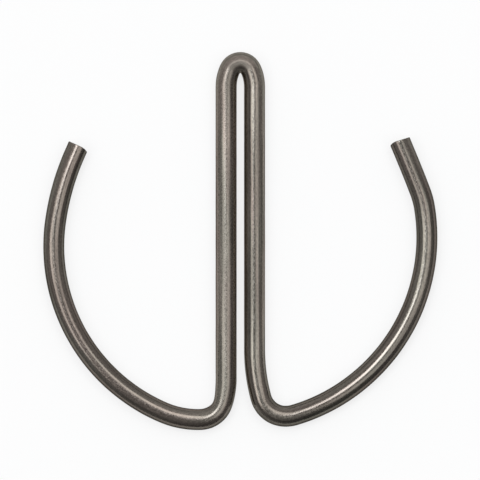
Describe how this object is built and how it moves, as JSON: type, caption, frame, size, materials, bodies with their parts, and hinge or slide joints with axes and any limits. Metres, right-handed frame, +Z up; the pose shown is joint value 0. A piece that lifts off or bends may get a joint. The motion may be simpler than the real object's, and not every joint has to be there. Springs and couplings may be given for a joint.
{
  "type": "socket retaining ring",
  "caption": "Flat spring wire retaining ring with a hairpin tang across the middle and open arms that hug a drive socket's groove.",
  "frame": {"origin": "centre of the ring on the tang's axis, in the plane that the wire lies on", "axes": "+Y along the tang towards its crown, +X across the ring to the arm whose tip is straight, +Z up from the plane"},
  "size_m": [0.0465, 0.0446, 0.0025],
  "materials": {
    "spring_steel": "dark oil-tempered wire with a fine satin grain"
  },
  "bodies": {
    "root": {"retaining_ring": "spring_steel"}
  },
  "joints": []
}
